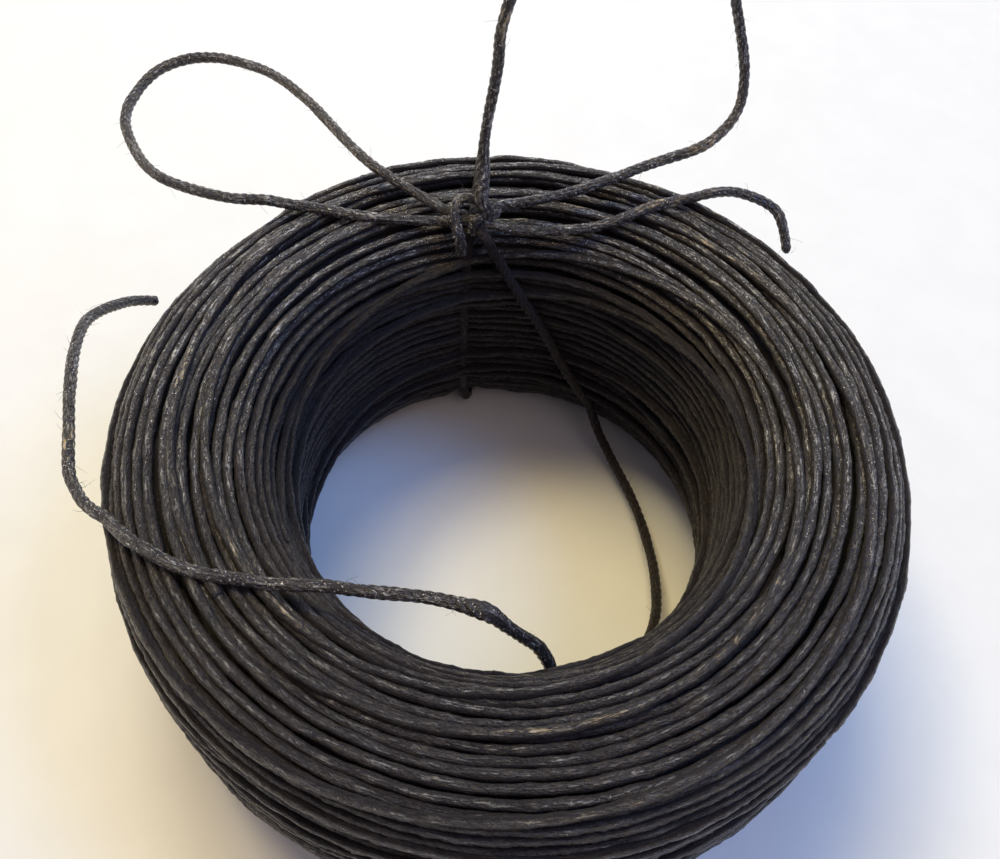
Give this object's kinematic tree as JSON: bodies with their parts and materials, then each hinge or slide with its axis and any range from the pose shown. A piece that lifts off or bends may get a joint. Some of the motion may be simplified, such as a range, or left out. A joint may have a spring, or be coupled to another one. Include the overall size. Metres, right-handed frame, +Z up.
{
  "type": "waxed thread ring",
  "caption": "Coreless ring of black waxed sewing cord with an open bore, held by a tie cord whose bow has two loops, a short end and a long tail through the bore.",
  "frame": {"origin": "centre of mass of the wound ring, on the bore's axis, 12.4 mm above the underside", "axes": "+Z up along the bore's axis, out of the face the bow lies on; +Y from the axis towards the bow; +X to the right seen from -Y"},
  "size_m": [0.0683, 0.0671, 0.0501],
  "materials": {
    "wound_cord": "twisted black cord with a waxy sheen, worn brown in places",
    "tie_cord": "twisted black waxed cord, stiff, slightly greyer where handled"
  },
  "bodies": {
    "wound_ring": {"winding_layer_1": "wound_cord", "winding_layer_2": "wound_cord", "winding_layer_3": "wound_cord", "winding_layer_4": "wound_cord", "winding_layer_5": "wound_cord", "winding_layer_6": "wound_cord", "winding_layer_7": "wound_cord", "winding_layer_8": "wound_cord", "tie_band": "tie_cord", "bow_knot": "tie_cord", "tail_in_bore": "tie_cord"},
    "left_loop": {"left_bow_loop": "tie_cord"},
    "upright_loop": {"upright_bow_loop": "tie_cord"},
    "short_end": {"short_bow_end": "tie_cord"},
    "tail_run": {"tail_over_face": "tie_cord"},
    "tail_end": {"tail_free_end": "tie_cord"}
  },
  "joints": [
    {"name": "left_loop_lift", "type": "hinge", "parent": "wound_ring", "child": "left_loop", "pos_m": [-0.0068, 0.0199, 0.0127], "axis": [0.3255, 0.9455, 0], "range_deg": [0, 60], "stiffness_Nm_per_rad": 0.0002},
    {"name": "upright_loop_tilt", "type": "hinge", "parent": "wound_ring", "child": "upright_loop", "pos_m": [-0.0048, 0.0199, 0.0142], "axis": [1, 0, 0], "range_deg": [-8, 70], "stiffness_Nm_per_rad": 0.0002},
    {"name": "short_end_lift", "type": "hinge", "parent": "wound_ring", "child": "short_end", "pos_m": [-0.0032, 0.0196, 0.0127], "axis": [0.3401, -0.9404, 0], "range_deg": [0, 75], "stiffness_Nm_per_rad": 0.0002},
    {"name": "tail_lift", "type": "hinge", "parent": "wound_ring", "child": "tail_run", "pos_m": [0.0012, -0.0161, 0.0107], "axis": [0.218, 0.976, 0], "range_deg": [0, 80], "stiffness_Nm_per_rad": 0.0002},
    {"name": "tail_end_swing", "type": "hinge", "parent": "tail_run", "child": "tail_end", "pos_m": [-0.0286, -0.0109, 0.011], "axis": [0, 0, 1], "range_deg": [0, 100], "stiffness_Nm_per_rad": 0.0002}
  ]
}
